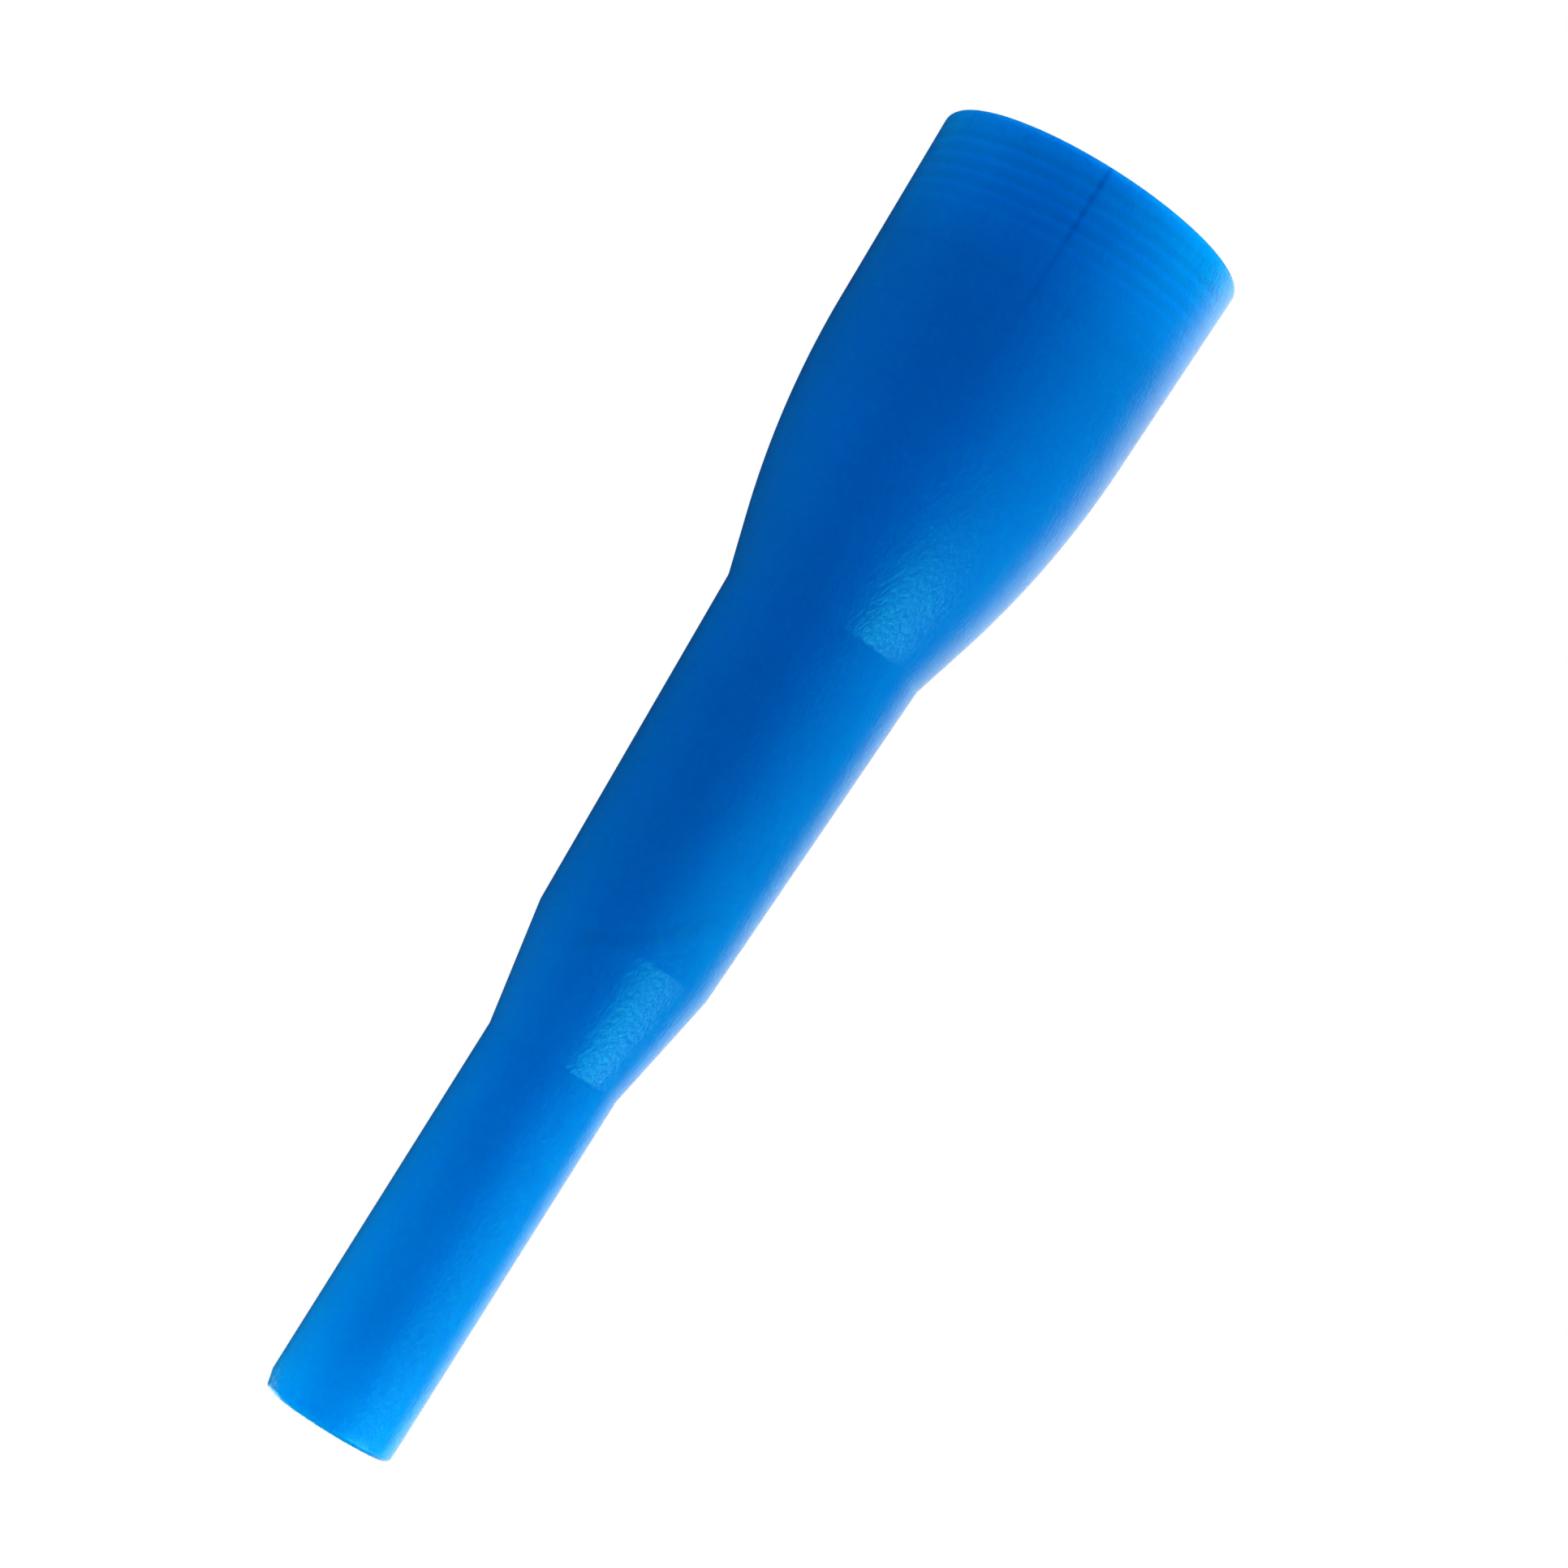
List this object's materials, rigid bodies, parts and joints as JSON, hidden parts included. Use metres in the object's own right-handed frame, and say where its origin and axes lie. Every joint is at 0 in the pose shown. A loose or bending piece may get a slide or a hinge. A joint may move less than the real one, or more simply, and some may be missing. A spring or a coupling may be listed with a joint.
{
  "type": "saliva ejector tip",
  "caption": "Tapered moulded sleeve with an internally threaded bell mouth, a removable rubber-rimmed domed strainer, and a narrow nozzle that holds a suction tube.",
  "frame": {"origin": "centre of the wide mouth's flat rim, which the tip stands on", "axes": "+Z along the tip's axis, from the wide threaded mouth to the narrow nozzle"},
  "size_m": [0.0214, 0.0214, 0.09],
  "materials": {
    "body_plastic": "translucent blue moulded plastic, satin",
    "seal_rubber": "soft translucent silicone, matte",
    "strainer_plastic": "natural white moulded plastic, satin"
  },
  "bodies": {
    "tip": {"tip_body": "body_plastic"},
    "strainer": {"strainer_screen": "strainer_plastic", "seal_ring": "seal_rubber"}
  },
  "joints": [
    {"name": "strainer_pull", "type": "slide", "parent": "tip", "child": "strainer", "axis": [0, 0, -1], "range_m": [0, 0.015]}
  ]
}
